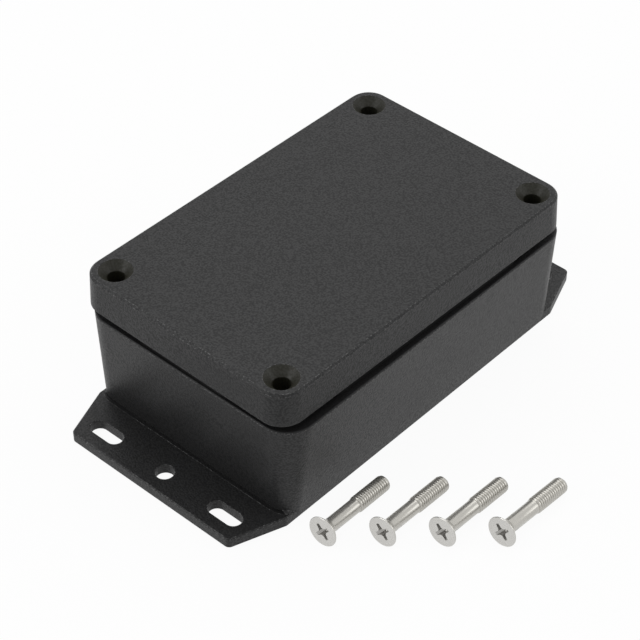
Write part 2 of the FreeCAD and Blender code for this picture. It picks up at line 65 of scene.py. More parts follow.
# Sizes and colours that a user would change.
class ShellFinish(bpy.types.PropertyGroup):
    """Finish of the moulded base and lid"""

    colour: FloatVectorProperty(
        name="Colour",
        description="Colour of the moulded plastic",
        subtype="COLOR",
        size=3,
        min=0.0,
        max=1.0,
        default=(0.015, 0.015, 0.0153),
    )
    # Painted highlight: the lighter colour of the specks along the moulded edges, where light
    # would catch them.
    glint_colour: FloatVectorProperty(
        name="Edge colour",
        description="Colour of the plastic where its edges are rubbed",
        subtype="COLOR",
        size=3,
        min=0.0,
        max=1.0,
        default=(0.2, 0.2, 0.2),
    )
    roughness: FloatProperty(
        name="Roughness",
        description="Mean roughness of the moulded skin",
        subtype="FACTOR",
        min=0.0,
        max=1.0,
        default=0.42,
    )
    reflectance: FloatProperty(
        name="Reflectance",
        description="Mean specular level of the moulded skin",
        subtype="FACTOR",
        min=0.0,
        max=1.0,
        default=0.25,
    )
    grain_size: FloatProperty(
        name="Grain size",
        description="Width of one bump of the moulded grain",
        unit="LENGTH",
        min=0.00005,
        default=0.00045,
    )
    grain_depth: FloatProperty(
        name="Grain depth",
        description="Height of the moulded grain",
        unit="LENGTH",
        min=0.0,
        default=0.000038,
    )
    edge_round: FloatProperty(
        name="Edge rounding",
        description="Radius over which light runs round the moulded edges",
        unit="LENGTH",
        min=0.0,
        default=0.0003,
    )
    sink: FloatProperty(
        name="Countersink",
        description="Diameter of the lid's smooth countersunk holes at the top",
        unit="LENGTH",
        default=8.2 * MM,
    )
    sink_colour: FloatVectorProperty(
        name="Countersink colour",
        description="Colour of the plastic in the countersunk holes",
        subtype="COLOR",
        size=3,
        min=0.0,
        max=1.0,
        default=(0.017, 0.0165, 0.0115),
    )
    seam: FloatProperty(
        name="Seam edge",
        description="Height of the base's dark mouth edge, in the shade of the seam",
        unit="LENGTH",
        min=0.0,
        default=0.15 * MM,
    )
    # Painted shade darkens the inner corner between flange and end wall at this height.
    root_height: FloatProperty(
        name="Root height",
        description="Middle height of the dull inner corner between flange and end wall",
        unit="LENGTH",
        default=2.95 * MM,
    )
    root_reach: FloatProperty(
        name="Root reach",
        description="Distance from the box's middle beyond which that corner lies",
        unit="LENGTH",
        default=47.4 * MM,
    )
    lid_shift: FloatVectorProperty(
        name="Lid shift",
        description="Middle of the loose lid, from the box's middle",
        subtype="TRANSLATION",
        size=3,
        default=(-0.23 * MM, -0.53 * MM, 0.0),
    )
    lid_turn: FloatProperty(
        name="Lid turn",
        description="Turn of the loose lid on the box",
        unit="ROTATION",
        default=math.radians(-0.6),
    )


class SealFinish(bpy.types.PropertyGroup):
    """Finish of the lid gasket"""

    colour: FloatVectorProperty(
        name="Colour",
        description="Colour of the rubber",
        subtype="COLOR",
        size=3,
        min=0.0,
        max=1.0,
        default=(0.004, 0.004, 0.004),
    )
    roughness: FloatProperty(
        name="Roughness",
        description="Mean roughness of the rubber",
        subtype="FACTOR",
        min=0.0,
        max=1.0,
        default=0.65,
    )


class ScrewSizes(bpy.types.PropertyGroup):
    """Sizes and places of the lid screws"""

    count: IntProperty(name="Count", description="Number of screws", min=1, default=4)
    length: FloatProperty(
        name="Length",
        description="Length with the head",
        unit="LENGTH",
        default=22.0 * MM,
    )
    head: FloatProperty(
        name="Head",
        description="Diameter of the countersunk head",
        unit="LENGTH",
        default=7.5 * MM,
    )
    head_rim: FloatProperty(
        name="Head rim",
        description="Straight edge of the head",
        unit="LENGTH",
        default=0.25 * MM,
    )
    shank: FloatProperty(
        name="Shank",
        description="Diameter of the plain shank",
        unit="LENGTH",
        default=3.5 * MM,
    )
    thread: FloatProperty(
        name="Thread",
        description="Diameter over the thread's crests",
        unit="LENGTH",
        default=3.95 * MM,
    )
    thread_length: FloatProperty(
        name="Thread length",
        description="Threaded length at the tip",
        unit="LENGTH",
        default=10.8 * MM,
    )
    pitch: FloatProperty(
        name="Pitch",
        description="From one thread crest to the next",
        unit="LENGTH",
        min=0.1 * MM,
        default=0.7 * MM,
    )
    tip_chamfer: FloatProperty(
        name="Tip chamfer",
        description="Chamfer at the end of the thread",
        unit="LENGTH",
        default=0.45 * MM,
    )
    recess_span: FloatProperty(
        name="Recess span",
        description="Cross recess from arm end to arm end",
        unit="LENGTH",
        default=4.3 * MM,
    )
    recess_arm: FloatProperty(
        name="Recess arm",
        description="Width of an arm of the cross recess, halfway out",
        unit="LENGTH",
        default=0.95 * MM,
    )
    recess_depth: FloatProperty(
        name="Recess depth",
        description="Depth of the cross recess",
        unit="LENGTH",
        default=2.1 * MM,
    )
    first: FloatVectorProperty(
        name="First head",
        description="Middle of the first screw's head face, on the floor plan",
        subtype="TRANSLATION",
        size=3,
        default=(39.5 * MM, -46.6 * MM, 0.0),
    )
    step: FloatVectorProperty(
        name="Step",
        description="From one screw to the next",
        subtype="TRANSLATION",
        size=3,
        default=(9.75 * MM, 8.8 * MM, 0.0),
    )
    turn: FloatProperty(
        name="Turn",
        description="Turn of the first screw from the box's length",
        unit="ROTATION",
        default=math.radians(2.4),
    )
    turn_step: FloatProperty(
        name="Turn step",
        description="Change of turn from one screw to the next",
        unit="ROTATION",
        default=math.radians(-0.75),
    )
    colour: FloatVectorProperty(
        name="Colour",
        description="Colour of the plated steel",
        subtype="COLOR",
        size=3,
        min=0.0,
        max=1.0,
        default=(0.525, 0.51, 0.471),
    )
    metallic: FloatProperty(
        name="Metallic",
        description="Share of the steel's look that is plain metal; the rest is satin",
        subtype="FACTOR",
        min=0.0,
        max=1.0,
        default=0.62,
    )
    roughness: FloatProperty(
        name="Roughness",
        description="Mean roughness of the plated steel",
        subtype="FACTOR",
        min=0.0,
        max=1.0,
        default=0.25,
    )
    # Painted light: the flat face of the head is given a lighter colour than the sides, as it
    # faces the light.
    lit_face_colour: FloatVectorProperty(
        name="Face colour",
        description="Colour of the flat face of the head",
        subtype="COLOR",
        size=3,
        min=0.0,
        max=1.0,
        default=(0.61, 0.6, 0.575),
    )
    # Painted shade: the walls of the cross recess are given a darker colour, for the shade inside
    # it.
    recess_shade_colour: FloatVectorProperty(
        name="Recess colour",
        description="Colour of the walls of the cross recess",
        subtype="COLOR",
        size=3,
        min=0.0,
        max=1.0,
        default=(0.42, 0.41, 0.39),
    )


class InsertSizes(bpy.types.PropertyGroup):
    """Sizes of the threaded inserts"""

    outside: FloatProperty(
        name="Outside",
        description="Diameter over the knurled bands",
        unit="LENGTH",
        default=5.6 * MM,
    )
    waist: FloatProperty(
        name="Waist",
        description="Diameter between the bands",
        unit="LENGTH",
        default=5.0 * MM,
    )
    bore: FloatProperty(
        name="Bore",
        description="Diameter over the thread's crests",
        unit="LENGTH",
        default=3.3 * MM,
    )
    pitch: FloatProperty(
        name="Pitch",
        description="From one thread crest to the next",
        unit="LENGTH",
        min=0.1 * MM,
        default=0.7 * MM,
    )
    knurls: IntProperty(
        name="Knurls", description="Teeth round each band", min=8, default=36
    )
    colour: FloatVectorProperty(
        name="Colour",
        description="Colour of the brass",
        subtype="COLOR",
        size=3,
        min=0.0,
        max=1.0,
        default=(0.68, 0.47, 0.2),
    )
    roughness: FloatProperty(
        name="Roughness",
        description="Mean roughness of the brass",
        subtype="FACTOR",
        min=0.0,
        max=1.0,
        default=0.3,
    )


class StageSettings(bpy.types.PropertyGroup):
    """Camera, lamps and floor"""

    azimuth: FloatProperty(
        name="Azimuth",
        description="Turn of the camera round the box, from a view along +Y",
        unit="ROTATION",
        default=math.radians(42.15),
    )
    elevation: FloatProperty(
        name="Elevation",
        description="Height angle of the camera",
        unit="ROTATION",
        default=math.radians(41.85),
    )
    distance: FloatProperty(
        name="Distance",
        description="From the camera to the point that it looks at",
        unit="LENGTH",
        default=0.508,
    )
    look_at: FloatVectorProperty(
        name="Look at",
        description="Point in the middle of the picture",
        subtype="TRANSLATION",
        size=3,
        default=(-3.1 * MM, -0.3 * MM, 9.9 * MM),
    )
    lens: FloatProperty(
        name="Focal length",
        description="Focal length in millimetres, on a sensor 36 mm wide",
        default=119.13,
    )
    floor_size: FloatProperty(
        name="Floor size",
        description="Side of the square floor",
        unit="LENGTH",
        default=6.0,
    )
    floor_colour: FloatVectorProperty(
        name="Floor colour",
        description="Colour of the floor and of the surround",
        subtype="COLOR",
        size=3,
        min=0.0,
        max=1.0,
        default=(1.0, 1.0, 1.0),
    )
    shadow: FloatProperty(
        name="Shadow",
        description="Share of the floor's look that takes the object's shadow",
        subtype="FACTOR",
        min=0.0,
        max=1.0,
        default=0.06,
    )
    ambient: FloatProperty(
        name="Ambient",
        description="Strength of the light from all round",
        min=0.0,
        default=0.6,
    )
    key: FloatProperty(
        name="Key lamp",
        description="Power of the large lamp high above, a little behind and to the left",
        unit="POWER",
        min=0.0,
        default=3.0,
    )
    front: FloatProperty(
        name="Front lamp",
        description="Power of the lamp before the box, to the left",
        unit="POWER",
        min=0.0,
        default=2.4,
    )
    side: FloatProperty(
        name="Side lamp",
        description="Power of the lamp behind the box, to the right",
        unit="POWER",
        min=0.0,
        default=1.2,
    )


# Nodes, for shader and geometry trees alike.
def add_node(tree, kind, inputs=None, **settings):
    node = tree.nodes.new(kind)
    for name, value in settings.items():
        setattr(node, name, value)
    for name, value in (inputs or {}).items():
        if isinstance(value, bpy.types.NodeSocket):
            tree.links.new(value, node.inputs[name])
        else:
            node.inputs[name].default_value = value
    return node


def calculate(tree, operation, *values, clamp=False):
    node = add_node(tree, "ShaderNodeMath", operation=operation, use_clamp=clamp)
    for index, value in enumerate(values):
        if isinstance(value, bpy.types.NodeSocket):
            tree.links.new(value, node.inputs[index])
        else:
            node.inputs[index].default_value = value
    return node.outputs[0]


def blend_colours(tree, factor, first, second):
    node = add_node(tree, "ShaderNodeMix", data_type="RGBA")
    for index, value in ((0, factor), (6, first), (7, second)):
        if isinstance(value, bpy.types.NodeSocket):
            tree.links.new(value, node.inputs[index])
        elif index == 0:
            node.inputs[index].default_value = value
        else:
            node.inputs[index].default_value = (*value, 1.0)
    return node.outputs[2]


def shade(colour, factor):
    return [min(1.0, channel * factor) for channel in colour]


def spread(tree, value, low, high):
    """Stretches a value between 0 and 1 to one between low and high"""
    inputs = {"Value": value, "From Min": 0.0, "From Max": 1.0, "To Min": low, "To Max": high}
    return add_node(tree, "ShaderNodeMapRange", inputs).outputs[0]


def new_group(name, inputs, outputs, kind="ShaderNodeTree"):
    tree = bpy.data.node_groups.new(name, kind)
    for label, socket, default in inputs:
        item = tree.interface.new_socket(name=label, in_out="INPUT", socket_type=socket)
        if default is not None:
            item.default_value = default
    for label, socket in outputs:
        tree.interface.new_socket(name=label, in_out="OUTPUT", socket_type=socket)
    return tree, tree.nodes.new("NodeGroupInput"), tree.nodes.new("NodeGroupOutput")


def use_group(tree, group, inputs):
    return add_node(tree, "ShaderNodeGroup", inputs, node_tree=group)


# Shared effects: each is built once, by the first material that asks for it.
def edge_wear():
    """Mask of the outer and inner edges, broken up by noise"""
    name = "edge_wear"
    if name in bpy.data.node_groups:
        return bpy.data.node_groups[name]
    full_bend = 1.0 / 14.0
    tree, given, result = new_group(
        name,
        [
            ("Vector", "NodeSocketVector", None),
            ("Radius", "NodeSocketFloat", 0.3 * MM),
            ("Break-up", "NodeSocketFloat", 2200.0),
        ],
        [("Mask", "NodeSocketFloat")],
    )
    geometry = add_node(tree, "ShaderNodeNewGeometry")
    bevel = add_node(tree, "ShaderNodeBevel", {"Radius": given.outputs["Radius"]}, samples=6)
    dot = add_node(tree, "ShaderNodeVectorMath", operation="DOT_PRODUCT")
    tree.links.new(bevel.outputs[0], dot.inputs[0])
    tree.links.new(geometry.outputs["Normal"], dot.inputs[1])
    bend = calculate(tree, "SUBTRACT", 1.0, dot.outputs["Value"])
    strong = calculate(tree, "DIVIDE", bend, full_bend, clamp=True)
    inputs = {"Vector": given.outputs["Vector"], "Scale": given.outputs["Break-up"], "Detail": 1.0}
    noise = add_node(tree, "ShaderNodeTexNoise", inputs)
    inputs = {"Value": noise.outputs["Fac"], "From Min": 0.5, "From Max": 0.64}
    broken = add_node(tree, "ShaderNodeMapRange", inputs).outputs[0]
    mask = calculate(tree, "MULTIPLY", strong, broken, clamp=True)
    tree.links.new(mask, result.inputs["Mask"])
    return tree


def moulded_grain():
    """Orange peel of a moulded skin: its height, rounded on top, and an uneven tone"""
    name = "moulded_grain"
    if name in bpy.data.node_groups:
        return bpy.data.node_groups[name]
    tree, given, result = new_group(
        name,
        [("Vector", "NodeSocketVector", None), ("Scale", "NodeSocketFloat", 2000.0)],
        [("Height", "NodeSocketFloat"), ("Tone", "NodeSocketFloat")],
    )
    scale = given.outputs["Scale"]
    inputs = {"Vector": given.outputs["Vector"], "Scale": scale, "Detail": 1.2, "Roughness": 0.5}
    bumps = add_node(tree, "ShaderNodeTexNoise", inputs)
    inputs = {"Value": bumps.outputs["Fac"], "From Min": 0.3, "From Max": 0.7}
    rounded = add_node(
        tree, "ShaderNodeMapRange", inputs, interpolation_type="SMOOTHSTEP"
    ).outputs[0]
    wide_scale = calculate(tree, "MULTIPLY", scale, 0.22)
    inputs = {"Vector": given.outputs["Vector"], "Scale": wide_scale, "Detail": 1.0}
    waves = add_node(tree, "ShaderNodeTexNoise", inputs)
    height = calculate(tree, "MULTIPLY_ADD", waves.outputs["Fac"], 0.5, rounded)
    tree.links.new(height, result.inputs["Height"])
    tree.links.new(rounded, result.inputs["Tone"])
    return tree


def mottling():
    """Slow unevenness of a surface, as handling and cooling leave it"""
    name = "mottling"
    if name in bpy.data.node_groups:
        return bpy.data.node_groups[name]
    tree, given, result = new_group(
        name,
        [("Vector", "NodeSocketVector", None), ("Scale", "NodeSocketFloat", 60.0)],
        [("Clouds", "NodeSocketFloat"), ("Specks", "NodeSocketFloat")],
    )
    scale = given.outputs["Scale"]
    inputs = {"Vector": given.outputs["Vector"], "Scale": scale, "Detail": 4.0, "Distortion": 0.4}
    clouds = add_node(tree, "ShaderNodeTexNoise", inputs)
    speck_scale = calculate(tree, "MULTIPLY", scale, 22.0)
    inputs = {"Vector": given.outputs["Vector"], "Scale": speck_scale, "Detail": 2.0}
    fine = add_node(tree, "ShaderNodeTexNoise", inputs)
    specks = calculate(tree, "GREATER_THAN", fine.outputs["Fac"], 0.69)
    tree.links.new(clouds.outputs["Fac"], result.inputs["Clouds"])
    tree.links.new(specks, result.inputs["Specks"])
    return tree


def corner_holes():
    """Mask of a round hole at each corner of a rectangle, in plan"""
    name = "corner_holes"
    if name in bpy.data.node_groups:
        return bpy.data.node_groups[name]
    soft_edge = 0.125 * MM
    tree, given, result = new_group(
        name,
        [
            ("Vector", "NodeSocketVector", None),
            ("Middle", "NodeSocketVector", None),
            ("Rotation", "NodeSocketVector", None),
            ("Corner", "NodeSocketVector", None),
            ("Radius", "NodeSocketFloat", 4.0 * MM),
        ],
        [("Mask", "NodeSocketFloat")],
    )
    inputs = {
        "Vector": given.outputs["Vector"],
        "Location": given.outputs["Middle"],
        "Rotation": given.outputs["Rotation"],
    }
    own = add_node(tree, "ShaderNodeMapping", inputs, vector_type="TEXTURE").outputs[0]
    folded = add_node(tree, "ShaderNodeVectorMath", {0: own}, operation="ABSOLUTE").outputs[0]
    inputs = {0: folded, 1: given.outputs["Corner"]}
    offset = add_node(tree, "ShaderNodeVectorMath", inputs, operation="SUBTRACT").outputs[0]
    inputs = {0: offset, 1: (1.0, 1.0, 0.0)}
    flat = add_node(tree, "ShaderNodeVectorMath", inputs, operation="MULTIPLY").outputs[0]
    reach = add_node(tree, "ShaderNodeVectorMath", {0: flat}, operation="LENGTH").outputs["Value"]
    inside = calculate(tree, "SUBTRACT", given.outputs["Radius"], reach)
    mask = calculate(tree, "DIVIDE", inside, soft_edge, clamp=True)
    tree.links.new(mask, result.inputs["Mask"])
    return tree


def turning_marks():
    """Rings that a lathe or a die leaves round an axis"""
    name = "turning_marks"
    if name in bpy.data.node_groups:
        return bpy.data.node_groups[name]
    drift = 0.12 * MM
    tree, given, result = new_group(
        name,
        [("Place", "NodeSocketVector", None), ("Scale", "NodeSocketFloat", 9000.0)],
        [("Rings", "NodeSocketFloat"), ("Radius", "NodeSocketFloat")],
    )
    parts = add_node(tree, "ShaderNodeSeparateXYZ", {"Vector": given.outputs["Place"]})
    x_squared = calculate(tree, "POWER", parts.outputs["X"], 2.0)
    y_squared = calculate(tree, "POWER", parts.outputs["Y"], 2.0)
    radius = calculate(tree, "SQRT", calculate(tree, "ADD", x_squared, y_squared))
    angle = calculate(tree, "ARCTAN2", parts.outputs["Y"], parts.outputs["X"])
    slow_angle = calculate(tree, "MULTIPLY", angle, drift)
    inputs = {"X": radius, "Y": parts.outputs["Z"], "Z": slow_angle}
    place = add_node(tree, "ShaderNodeCombineXYZ", inputs)
    inputs = {"Vector": place.outputs[0], "Scale": given.outputs["Scale"], "Detail": 2.0}
    rings = add_node(tree, "ShaderNodeTexNoise", inputs)
    tree.links.new(rings.outputs["Fac"], result.inputs["Rings"])
    tree.links.new(radius, result.inputs["Radius"])
    return tree


def new_material(name):
    material = bpy.data.materials.new(name)
    material.use_nodes = True
    tree = material.node_tree
    tree.nodes.clear()
    output = tree.nodes.new("ShaderNodeOutputMaterial")
    shader = tree.nodes.new("ShaderNodeBsdfPrincipled")
    tree.links.new(shader.outputs[0], output.inputs["Surface"])
    return material, tree, shader


def moulded_plastic(name, finish, corner, sink, top, root):
    """Grained plastic: smooth in holes of diameter sink at the four corners, with painted
    shade above the height top and painted shade in the inner corner at the height root"""
    root_half = 0.33 * MM
    speckle = 0.28
    coat_per_level = 1.8
    hole_grain = 0.15
    mean_height = 0.75
    material, tree, shader = new_material(name)
    place = add_node(tree, "ShaderNodeTexCoord").outputs["Object"]
    scale = 1.0 / finish.grain_size
    grain = use_group(tree, moulded_grain(), {"Vector": place, "Scale": scale})
    clouds = use_group(tree, mottling(), {"Vector": place, "Scale": 45.0})
    radius = finish.edge_round
    edge_mask = use_group(tree, edge_wear(), {"Vector": place, "Radius": radius})
    inputs = {
        "Vector": place,
        "Middle": tuple(finish.lid_shift),
        "Rotation": (0.0, 0.0, finish.lid_turn),
        "Corner": corner,
        "Radius": sink / 2.0,
    }
    holes = use_group(tree, corner_holes(), inputs).outputs["Mask"]
    parts = add_node(tree, "ShaderNodeSeparateXYZ", {"Vector": place})
    height = parts.outputs["Z"]
    # Painted shade: the base's rim above the height top is darkened where the lid shades the seam.
    mouth = calculate(tree, "GREATER_THAN", height, top)
    # Painted shade: the inner corner between flange and end wall is darkened and loses its coat.
    reach = calculate(tree, "ABSOLUTE", parts.outputs["Y"])
    at_end = calculate(tree, "GREATER_THAN", reach, finish.root_reach)
    at_root = calculate(tree, "COMPARE", height, root, root_half)
    inner = calculate(tree, "MULTIPLY", at_end, at_root)

    tone = calculate(tree, "ADD", grain.outputs["Tone"], clouds.outputs["Clouds"])
    half_tone = calculate(tree, "MULTIPLY", tone, 0.5)
    skin = blend_colours(tree, half_tone, shade(finish.colour, 0.6), shade(finish.colour, 1.4))
    # Painted highlight: specks along the edges are lightened towards the glint colour.
    edge_glints = calculate(tree, "MULTIPLY", edge_mask.outputs["Mask"], 0.9)
    colour = blend_colours(tree, edge_glints, skin, tuple(finish.glint_colour))
    colour = blend_colours(tree, holes, colour, tuple(finish.sink_colour))
    # Painted shade: darker at the seam's mouth and in the inner corner.
    colour = blend_colours(tree, mouth, colour, shade(finish.colour, 0.85))
    colour = blend_colours(tree, inner, colour, shade(finish.colour, 0.7))
    tree.links.new(colour, shader.inputs["Base Color"])

    low = finish.roughness - 0.05
    high = finish.roughness + 0.07
    gloss = spread(tree, clouds.outputs["Clouds"], low, high)
    gloss_at_glints = calculate(tree, "MULTIPLY_ADD", edge_glints, -0.1, gloss)
    tree.links.new(gloss_at_glints, shader.inputs["Roughness"])

    # A faint coat makes the tops of the grain shine more, but not at the mouth and the root, where
    # it is left off as part of their painted shade.
    shader.inputs["Specular IOR Level"].default_value = finish.reflectance * (1.0 - speckle)
    shader.inputs["Coat Roughness"].default_value = finish.roughness
    top_coat = coat_per_level * finish.reflectance * 2.0 * speckle
    shaded = calculate(tree, "ADD", mouth, inner, clamp=True)
    shine = spread(tree, shaded, top_coat, 0.0)
    coat = calculate(tree, "MULTIPLY", grain.outputs["Tone"], shine)
    tree.links.new(coat, shader.inputs["Coat Weight"])

    # The inner corner takes light as the flange below it does, so that it looks sharp.
    round_edge = add_node(tree, "ShaderNodeBevel", {"Radius": radius}, samples=6)
    inputs = {0: inner, 4: round_edge.outputs[0], 5: (0.0, 0.0, 1.0)}
    facing = add_node(tree, "ShaderNodeMix", inputs, data_type="VECTOR").outputs[1]
    swell = calculate(tree, "SUBTRACT", grain.outputs["Height"], mean_height)
    relief = calculate(tree, "MULTIPLY", swell, spread(tree, holes, 1.0, hole_grain))
    inputs = {"Height": relief, "Distance": finish.grain_depth, "Normal": facing}
    bump = add_node(tree, "ShaderNodeBump", inputs)
    tree.links.new(bump.outputs[0], shader.inputs["Normal"])
    return material


def soft_rubber(finish):
    """Dark rubber with a slight dusty bloom"""
    material, tree, shader = new_material("soft_rubber")
    shader.inputs["Specular IOR Level"].default_value = 0.1
    place = add_node(tree, "ShaderNodeTexCoord").outputs["Object"]
    grain = use_group(tree, moulded_grain(), {"Vector": place, "Scale": 3500.0})
    clouds = use_group(tree, mottling(), {"Vector": place, "Scale": 120.0})
    bloom = calculate(tree, "MULTIPLY", clouds.outputs["Clouds"], 0.6)
    colour = blend_colours(tree, bloom, tuple(finish.colour), shade(finish.colour, 1.8))
    tree.links.new(colour, shader.inputs["Base Color"])
    low = finish.roughness - 0.08
    high = finish.roughness + 0.1
    gloss = spread(tree, clouds.outputs["Clouds"], low, high)
    tree.links.new(gloss, shader.inputs["Roughness"])
    inputs = {"Height": grain.outputs["Height"], "Distance": 0.012 * MM}
    bump = add_node(tree, "ShaderNodeBump", inputs)
    tree.links.new(bump.outputs[0], shader.inputs["Normal"])
    return material


def bright_metal(name, colours, metallic, roughness, place_name, cone):
    """Plated or turned metal in three colours: sides, top face lighter as painted light, and
    the walls of a recess darker as painted shade, which lie inside a cone head's cone, of radius
    cone at the face"""
    colour, lit_face_colour, recess_shade_colour = colours
    below_face = -0.06 * MM
    material, tree, shader = new_material(name)
    shader.inputs["Metallic"].default_value = metallic
    place = add_node(tree, "ShaderNodeAttribute", attribute_name=place_name).outputs["Vector"]
    marks = use_group(tree, turning_marks(), {"Place": place, "Scale": 9000.0})
    clouds = use_group(tree, mottling(), {"Vector": place, "Scale": 260.0})
    edge_mask = use_group(tree, edge_wear(), {"Vector": place, "Radius": 0.12 * MM})
    bright = shade(colour, 1.1)
    plate = blend_colours(tree, clouds.outputs["Clouds"], shade(colour, 0.84), bright)
    tarnish = calculate(tree, "MULTIPLY", clouds.outputs["Specks"], 0.25)
    spotted = blend_colours(tree, tarnish, plate, shade(colour, 0.6))
    # Painted highlight: specks along the edges are a little lighter.
    edge_glints = calculate(tree, "MULTIPLY", edge_mask.outputs["Mask"], 0.3)
    glinted = blend_colours(tree, edge_glints, spotted, bright)
    height = add_node(tree, "ShaderNodeSeparateXYZ", {"Vector": place}).outputs["Z"]
    # Painted light: the flat face of the head is given a lighter colour than the sides.
    face = calculate(tree, "GREATER_THAN", height, below_face)
    # Painted shade: the walls of the cross recess are given a darker colour.
    cone_radius = calculate(tree, "ADD", height, cone)
    recess = calculate(tree, "LESS_THAN", marks.outputs["Radius"], cone_radius)
    sides = blend_colours(tree, recess, glinted, recess_shade_colour)
    tree.links.new(blend_colours(tree, face, sides, lit_face_colour), shader.inputs["Base Color"])
    uneven = calculate(tree, "ADD", clouds.outputs["Clouds"], marks.outputs["Rings"])
    half = calculate(tree, "MULTIPLY", uneven, 0.5)
    gloss = spread(tree, half, roughness - 0.08, roughness + 0.1)
    tree.links.new(gloss, shader.inputs["Roughness"])
    inputs = {"Height": marks.outputs["Rings"], "Distance": 0.0006 * MM}
    bump = add_node(tree, "ShaderNodeBump", inputs)
    tree.links.new(bump.outputs[0], shader.inputs["Normal"])
    return material


# Meshes in code.
def ring(bm, radius, height, segments):
    verts = []
    for index in range(segments):
        angle = 2.0 * math.pi * index / segments
        verts.append(bm.verts.new((radius * math.cos(angle), radius * math.sin(angle), height)))
    return verts


def lathe(bm, profile, segments):
    """Turns a profile of (radius, height) points; a zero radius closes a pole"""
    before = None
    for radius, height in profile:
        if radius == 0.0:
            here = [bm.verts.new((0.0, 0.0, height))]
        else:
            here = ring(bm, radius, height, segments)
        if before is not None:
            for index in range(segments):
                after = (index + 1) % segments
                corners = [
                    before[index % len(before)],
                    before[after % len(before)],
                    here[after % len(here)],
                    here[index % len(here)],
                ]
                bm.faces.new(list(dict.fromkeys(corners)))
        before = here


def helix_wall(bm, top, bottom, pitch, phases, radius_at, segments):
    """Wall round the axis whose rows climb one pitch a turn; rows stop at top and bottom"""
    per_turn = len(phases)
    turns = int((top - bottom) / pitch) + 3
    columns = []
    for index in range(segments):
        share = index / segments
        angle = 2.0 * math.pi * share
        column = []
        for row in range((turns + 1) * per_turn):
            turn, step = divmod(row, per_turn)
            height = top + pitch - pitch * (turn + phases[step] + share)
            height = min(top, max(bottom, height))
            radius = radius_at(step, height)
            place = (radius * math.cos(angle), radius * math.sin(angle), height)
            column.append(bm.verts.new(place))
        columns.append(column)
    for index in range(segments):
        here = columns[index]
        after = columns[(index + 1) % segments]
        shift = per_turn if index == segments - 1 else 0
        for row in range(len(here) - 1 - per_turn):
            corners = (here[row], here[row + 1], after[row + 1 + shift], after[row + shift])
            bm.faces.new(corners)


def close_shell(bm):
    bmesh.ops.remove_doubles(bm, verts=bm.verts, dist=1e-8)
    bmesh.ops.dissolve_degenerate(bm, edges=bm.edges, dist=1e-9)
    bmesh.ops.recalc_face_normals(bm, faces=bm.faces)


def finished_mesh(bm, name, sharp_degrees=32.0):
    for face in bm.faces:
        face.smooth = True
    mesh = bpy.data.meshes.new(name)
    bm.to_mesh(mesh)
    bm.free()
    mesh.set_sharp_from_angle(angle=math.radians(sharp_degrees))
    return mesh


def new_object(name, mesh):
    piece = bpy.data.objects.new(name, mesh)
    bpy.context.scene.collection.objects.link(piece)
    return piece


def mark_places(mesh, name):
    """Keeps each point's place on the upright piece, for patterns round its axis"""
    places = mesh.attributes.new(name, "FLOAT_VECTOR", "POINT")
    for vertex, place in zip(mesh.vertices, places.data):
        place.vector = vertex.co


def settled(piece):
    """Turns a piece's modifiers into a plain mesh"""
    graph = bpy.context.evaluated_depsgraph_get()
    mesh = bpy.data.meshes.new_from_object(piece.evaluated_get(graph))
    old = piece.data
    piece.modifiers.clear()
    piece.data = mesh
    bpy.data.meshes.remove(old)


def give_inputs(modifier, values):
    """Sets a modifier's inputs by the identifiers of their sockets"""
    for item in modifier.node_group.interface.items_tree:
        if item.in_out == "INPUT" and item.name in values:
            modifier[item.identifier] = values[item.name]


# One upright screw, the face of its head at the origin.
def screw_shell(sizes):
    segments = 48
    head = sizes.head / 2.0
    shank = sizes.shank / 2.0
    crest = sizes.thread / 2.0
    root = crest - 0.42 * sizes.pitch
    edge = 0.07 * MM
    fillet = 0.25 * MM
    cone_end = -(sizes.head_rim + head - shank)
    start = sizes.thread_length - sizes.length
    end = -sizes.length
    chamfer_end = crest - sizes.tip_chamfer
    rounding = 2.0 * sizes.tip_chamfer
    run_out = 1.1 * sizes.pitch

    def radius_at(step, height):
        full = crest if step < 2 else root
        grown = min(1.0, (start - height) / run_out)
        ease = grown * grown * (3.0 - 2.0 * grown)
        radius = shank + (full - shank) * ease
        short = max(0.0, 1.0 - (height - end) / rounding)
        return min(radius, crest - sizes.tip_chamfer * (1.0 - math.sqrt(1.0 - short * short)))

    bm = bmesh.new()
    profile = [
        (0.0, 0.0),
        (head * 0.75, 0.0),
        (head - edge, 0.0),
        (head, -edge),
        (head, -sizes.head_rim),
        (shank + fillet, cone_end + fillet),
        (shank + fillet * 0.3, cone_end - fillet * 0.3),
        (shank, cone_end - fillet),
        (shank, start),
    ]
    lathe(bm, profile, segments)
    helix_wall(bm, start, end, sizes.pitch, (0.0, 0.3, 0.54, 0.72), radius_at, segments)
    lathe(bm, [(chamfer_end, end), (chamfer_end * 0.6, end), (0.0, end)], segments)
    close_shell(bm)
    return finished_mesh(bm, "screw_shell")


def recess_ring(bm, span, arm, height):
    """Cross outline with blunt inner corners"""
    half = span / 2.0
    end = arm * 0.4
    side = arm * 0.56
    blunt = side * 1.7
    quarter = [(half, -end), (half, end), (blunt, side), (side, blunt)]
    verts = []
    for turn in range(4):
        for x, y in quarter:
            for _ in range(turn):
                x, y = -y, x
            verts.append(bm.verts.new((x, y, height)))
    return verts


def recess_cutter(sizes):
    """Tapered cross with a pointed bottom, for cutting the recess"""
    above = 0.3 * MM
    shoulder = sizes.recess_depth * 0.72
    narrow_span = sizes.recess_span * 0.42
    slope = (sizes.recess_span - narrow_span) / shoulder
    bm = bmesh.new()
    top = recess_ring(bm, sizes.recess_span + slope * above, sizes.recess_arm * 1.05, above)
    low = recess_ring(bm, narrow_span, sizes.recess_arm * 0.72, -shoulder)
    tip = bm.verts.new((0.0, 0.0, -sizes.recess_depth))
    count = len(top)
    bm.faces.new(top)
    for index in range(count):
        after = (index + 1) % count
        bm.faces.new((top[index], low[index], low[after], top[after]))
        bm.faces.new((low[index], tip, low[after]))
    bmesh.ops.recalc_face_normals(bm, faces=bm.faces)
    return finished_mesh(bm, "recess_cutter")


